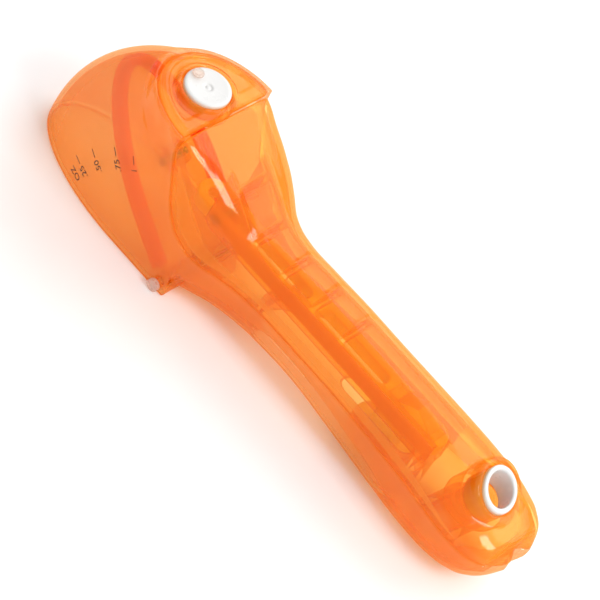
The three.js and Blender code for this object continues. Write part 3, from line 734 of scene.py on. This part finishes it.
# ---- the printed scale on the near wall ----
# Each mark is a text, its angle about the hinge, and where the text ends and the tick starts.
MARKS = ((".25", 10.8, 36.7), (".50", 21.9, 35.5), (".75", 35.9, 34.2), ("1", 46.8, 32.0), ("OZ", 5.1, 38.6))
TEXT_SIZE, TICK_LENGTH, TICK_WIDTH, TEXT_GAP = 2.75, 2.3, 0.26, 0.7
INK_PROUD, INK_THICKNESS, INK_SPREAD = 0.03, 0.04, 0.01


def glyphs(text):
    """The filled outlines of a text that ends at x = 0, as points and faces."""
    curve = bpy.data.curves.new(text, "FONT")
    curve.body, curve.size, curve.align_x, curve.align_y = text, TEXT_SIZE, "RIGHT", "CENTER"
    curve.offset = INK_SPREAD
    holder = bpy.data.objects.new(text, curve)
    mesh = holder.to_mesh()
    points = [tuple(v.co)[:2] for v in mesh.vertices]
    faces = [tuple(p.vertices) for p in mesh.polygons]
    holder.to_mesh_clear()
    bpy.data.objects.remove(holder)
    return points, faces


def on_wall(x, z):
    """The outside of the near bowl wall, a hair proud."""
    ahead = max(math.hypot(x, z - HINGE_Z) - BOWL_STRAIGHT, 0) / (BOWL_RADIUS - BOWL_STRAIGHT)
    return -BOWL_HALF * math.sqrt(1 - ahead ** 2) - INK_PROUD


def printed_scale():
    points, faces = [], []
    for text, degrees, start in MARKS:
        flat, polygons = glyphs(text)
        if text != "OZ":
            polygons.append(tuple(range(len(flat), len(flat) + 4)))
            low, high = TEXT_GAP, TEXT_GAP + TICK_LENGTH
            half = TICK_WIDTH / 2
            flat += [(low, -half), (high, -half), (high, half), (low, half)]
        angle = math.radians(degrees)
        faces += [tuple(len(points) + i for i in polygon) for polygon in polygons]
        for a, b in flat:
            reach = start - TEXT_GAP + a
            x = -math.cos(angle) * reach - math.sin(angle) * b
            z = HINGE_Z + math.sin(angle) * reach - math.cos(angle) * b
            points.append((x, on_wall(x, z), z))
    piece = new_piece("printed_scale", points, faces, INK, "housing", "coral_plastic")
    thicken = piece.modifiers.new("ink", "SOLIDIFY")
    thicken.thickness = INK_THICKNESS * MM
    thicken.offset = 0


printed_scale()

NODE_FINISH = {
    "hinge_pin": CLEAR, "hinge_cap_right": CLEAR, "hinge_cap_left": CLEAR,
    "crank_arm": ARM, "arm_pin": STEEL, "slider_pin": STEEL, "detent_spring": ARM,
}
for node, material in NODE_FINISH.items():
    shown = frame["nodes"][node]
    for slot in shown.material_slots:
        slot.material = material


# ---- floor, light and camera, in metres ----
FLOOR_HALF = 3.0


def floor():
    mesh = bpy.data.meshes.new("floor")
    half = FLOOR_HALF
    corners = [(-half, -half, 0), (half, -half, 0), (half, half, 0), (-half, half, 0)]
    mesh.from_pydata(corners, [], [(0, 1, 2, 3)])
    mesh.materials.append(plastic("floor_white", [(0.92, 0.92, 0.92), (0.93, 0.93, 0.93)], 0.9, 0.0))
    obj = bpy.data.objects.new("floor", mesh)
    bpy.context.scene.collection.objects.link(obj)


def aimed(obj, place, target, roll=0.0):
    direction = (Vector(target) - Vector(place)).normalized()
    turn = direction.to_track_quat("-Z", "Y").to_matrix().to_4x4()
    obj.matrix_world = Matrix.Translation(place) @ turn @ Matrix.Rotation(roll, 4, "Z")


def softbox(name, place, target, size, watts):
    light = bpy.data.lights.new(name, "AREA")
    light.shape = "RECTANGLE"
    light.size, light.size_y = size
    light.energy = watts
    obj = bpy.data.objects.new(name, light)
    bpy.context.scene.collection.objects.link(obj)
    aimed(obj, place, target)


AIM = Vector((0.001, 0, 0.0198))
VIEW_TURN, VIEW_RISE, VIEW_ROLL = 20.5, 47, 32.6
VIEW_DISTANCE = 0.839
SENSOR_WIDTH, LENS = 36, 199.8


def towards(azimuth, elevation, distance):
    turn, rise = math.radians(azimuth), math.radians(elevation)
    level = math.cos(rise)
    return AIM + distance * Vector((math.sin(turn) * level, -math.cos(turn) * level, math.sin(rise)))


def camera():
    data = bpy.data.cameras.new("photo_camera")
    data.sensor_width = SENSOR_WIDTH
    data.lens = LENS
    obj = bpy.data.objects.new("photo_camera", data)
    bpy.context.scene.collection.objects.link(obj)
    aimed(obj, towards(VIEW_TURN, VIEW_RISE, VIEW_DISTANCE), AIM, math.radians(VIEW_ROLL))
    bpy.context.scene.camera = obj


floor()
camera()
softbox("window", towards(82, 48, 1.0), AIM, (0.36, 0.36), 4.5)
softbox("back", towards(165, 40, 2.0), AIM, (2.6, 1.6), 25)

WORLD_STRENGTH = 0.75
SEE_THROUGH_WALLS = 48
world = bpy.data.worlds.new("studio")
world.use_nodes = True
background = world.node_tree.nodes["Background"]
background.inputs["Color"].default_value = (1, 1, 1, 1)
background.inputs["Strength"].default_value = WORLD_STRENGTH
bpy.context.scene.world = world
bpy.context.scene.view_settings.view_transform = "Standard"
bpy.context.scene.cycles.transparent_max_bounces = SEE_THROUGH_WALLS
